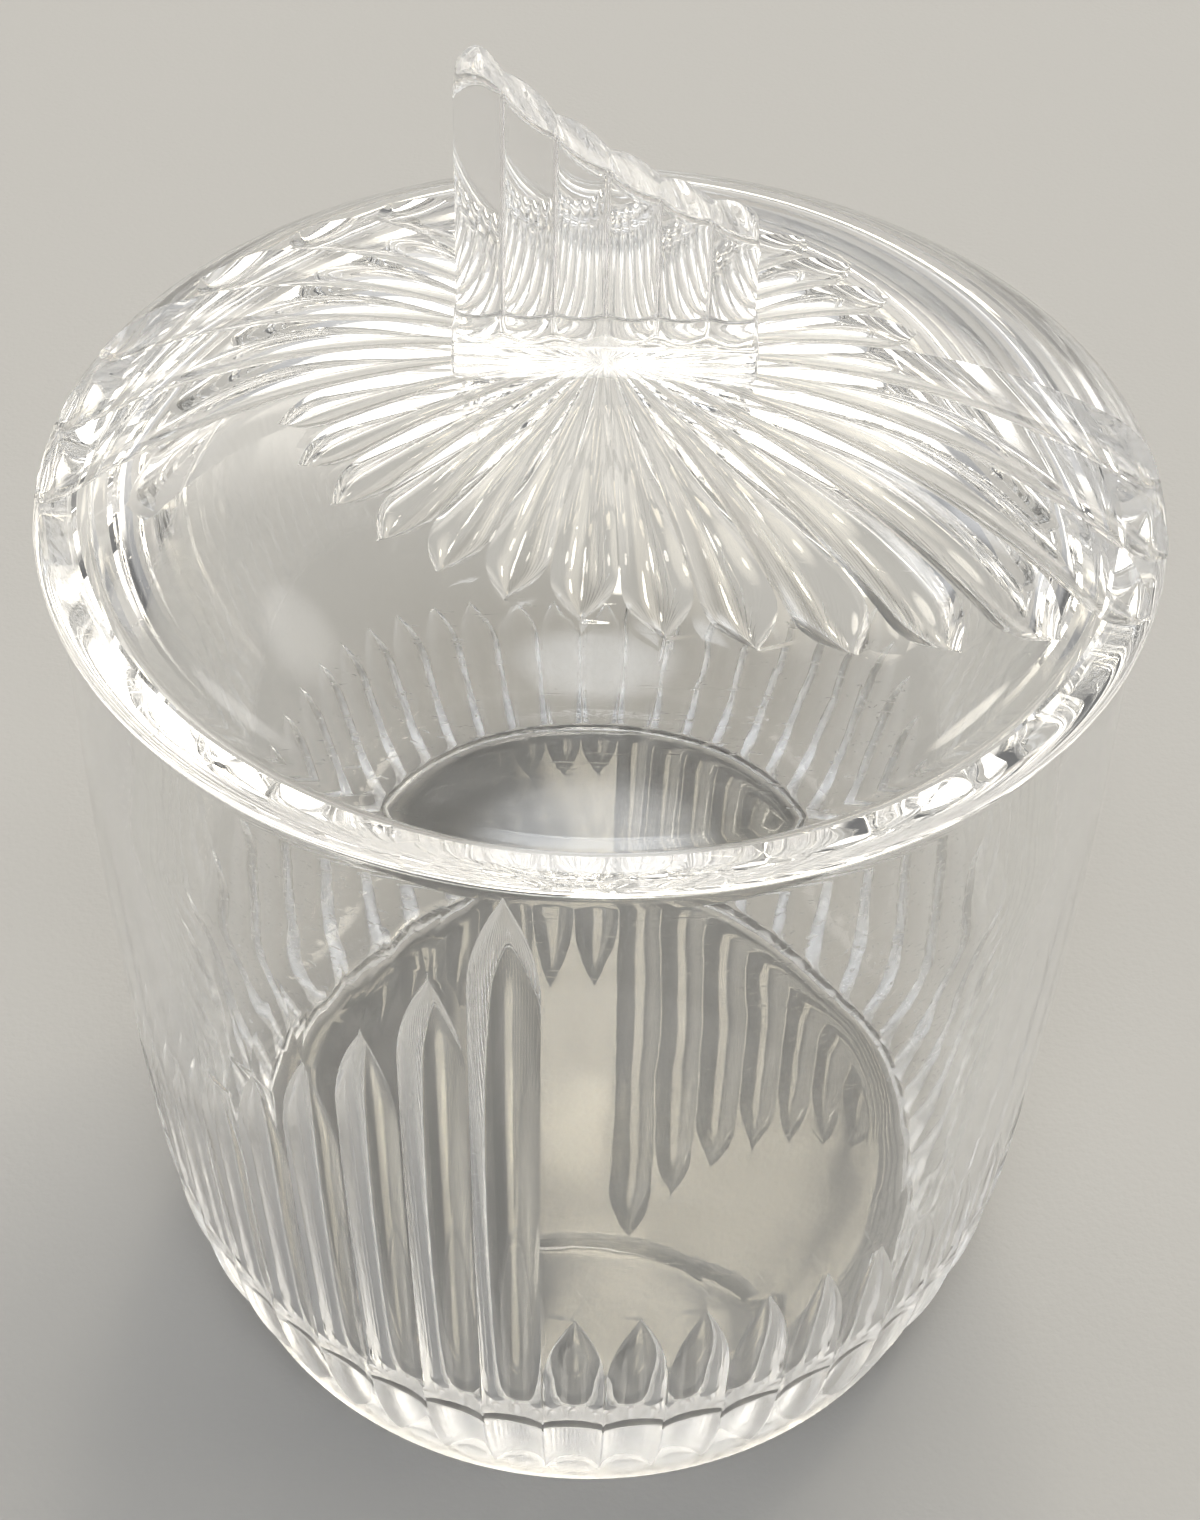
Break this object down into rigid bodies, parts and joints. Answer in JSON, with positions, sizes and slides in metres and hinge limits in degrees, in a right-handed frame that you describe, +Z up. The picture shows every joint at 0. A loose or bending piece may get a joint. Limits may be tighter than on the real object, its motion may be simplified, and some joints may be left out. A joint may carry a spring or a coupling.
{
  "type": "biscuit jar",
  "caption": "Round fluted glass jar with a thick base, a lift-off domed lid with a sunburst of scooped petals, and a ribbed fin-shaped knob.",
  "frame": {"origin": "centre of the foot's underside, on the surface the jar stands on", "axes": "+Z up along the jar's axis, +X along the fin towards its low end, -Y towards the viewer's side"},
  "size_m": [0.15, 0.15, 0.21],
  "materials": {
    "jar_glass": "clear colourless pressed crystal, polished, with a lightly worn foot",
    "lid_glass": "clear colourless pressed crystal, polished, with fine handling scratches",
    "fin_glass": "clear colourless pressed crystal, polished, with a finely ground top edge"
  },
  "bodies": {
    "jar": {"jar": "jar_glass"},
    "lid": {"lid": "lid_glass", "lid_fin": "fin_glass"}
  },
  "joints": [
    {"name": "lid_lift", "type": "slide", "parent": "jar", "child": "lid", "axis": [0, 0, 1], "range_m": [0, 0.1]}
  ]
}
